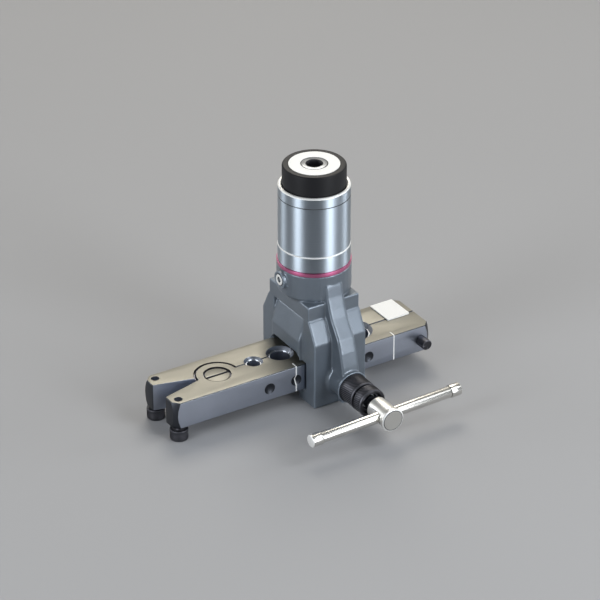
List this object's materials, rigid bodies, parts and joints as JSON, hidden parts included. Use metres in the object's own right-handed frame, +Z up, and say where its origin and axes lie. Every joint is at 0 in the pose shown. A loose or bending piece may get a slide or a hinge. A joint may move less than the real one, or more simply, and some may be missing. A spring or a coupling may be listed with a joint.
{
  "type": "flaring tool",
  "caption": "Tube flaring tool: split die bar in a cast yoke, eccentric cone fed by a clutched spindle in a turned sleeve, and a T-handle clamp screw.",
  "frame": {"origin": "on the bench plane under the middle of the whole tool's box; the spindle axis is at x 0.01375, y 0.0207", "axes": "+Z up along the spindle axis, +X along the die bar towards its plain end, -Y towards the clamp handle"},
  "size_m": [0.1396, 0.0938, 0.1145],
  "materials": {
    "cast_paint": "satin",
    "phosphated_steel": "satin",
    "black_oxide_steel": "matte",
    "ground_steel": "gloss",
    "hardened_steel": "gloss",
    "satin_aluminium": "satin",
    "nickel_plate": "gloss",
    "bronze": "satin",
    "rose_anodised_ring": "satin",
    "black_polymer": "matte",
    "black_rubber": "matte",
    "label_film": "satin",
    "spring_steel": "satin"
  },
  "bodies": {
    "yoke": {"yoke": "cast_paint", "feed_nut": "bronze", "nut_screw": "ground_steel", "mark_ring": "rose_anodised_ring", "sleeve_base": "satin_aluminium", "clamp_bush": "black_oxide_steel", "clamp_lock_ring": "black_oxide_steel"},
    "sleeve": {"sleeve": "satin_aluminium"},
    "spindle": {"spindle": "hardened_steel", "cone_holder": "black_oxide_steel", "cone_bush": "bronze", "cone_retainer": "black_oxide_steel", "clutch_driven_plate": "hardened_steel", "clutch_driving_plate": "hardened_steel", "clutch_spring": "spring_steel", "knob": "black_polymer", "knob_seal": "black_rubber", "knob_label": "label_film", "drive_hub": "hardened_steel"},
    "cone": {"flaring_cone": "hardened_steel", "thrust_ball": "hardened_steel"},
    "clamp_tip": {"clamp_tip": "ground_steel"},
    "handle": {"clamp_screw": "ground_steel", "clamp_hub": "nickel_plate"},
    "tbar": {"tbar": "nickel_plate", "tbar_cap_left": "nickel_plate", "tbar_cap_right": "nickel_plate"},
    "die_front": {"die_front": "phosphated_steel", "pivot_pin": "phosphated_steel", "foot_front": "black_oxide_steel", "stop_pin": "black_oxide_steel", "locating_dowel": "ground_steel"},
    "die_back": {"die_back": "phosphated_steel", "foot_back": "black_oxide_steel", "bar_label": "label_film"}
  },
  "joints": [
    {"name": "drive_turn", "type": "hinge", "parent": "yoke", "child": "sleeve", "pos_m": [0.01375, 0.0207, 0.0747], "axis": [0, 0, 1], "range_deg": [-1711, 0]},
    {"name": "cone_feed", "type": "slide", "parent": "sleeve", "child": "spindle", "axis": [0, 0, 1], "range_m": [-0.0095, 0]},
    {"name": "cone_spin", "type": "hinge", "parent": "spindle", "child": "cone", "pos_m": [0.01475, 0.0207, 0.0335], "axis": [0, 0, 1], "continuous": true},
    {"name": "clamp_feed", "type": "slide", "parent": "yoke", "child": "clamp_tip", "axis": [0, 1, 0], "range_m": [-0.005, 0]},
    {"name": "clamp_turn", "type": "hinge", "parent": "clamp_tip", "child": "handle", "pos_m": [0.01375, -0.0407, 0.01315], "axis": [0, 1, 0], "range_deg": [-1441, 0]},
    {"name": "tbar_slide", "type": "slide", "parent": "handle", "child": "tbar", "axis": [0.9997, 0, 0.0244], "range_m": [-0.0292, 0.0292]},
    {"name": "die_slide", "type": "slide", "parent": "yoke", "child": "die_front", "axis": [1, 0, 0], "range_m": [-0.0212, 0.0605]},
    {"name": "die_open", "type": "hinge", "parent": "die_front", "child": "die_back", "pos_m": [-0.03925, 0.0197, 0.01375], "axis": [0, 0, 1], "range_deg": [0, 0.5]}
  ],
  "couplings": [
    {"joint": "drive_turn", "follows": "cone_feed", "rad_per_m": 3141.6},
    {"joint": "clamp_turn", "follows": "clamp_feed", "rad_per_m": 5026.5}
  ]
}
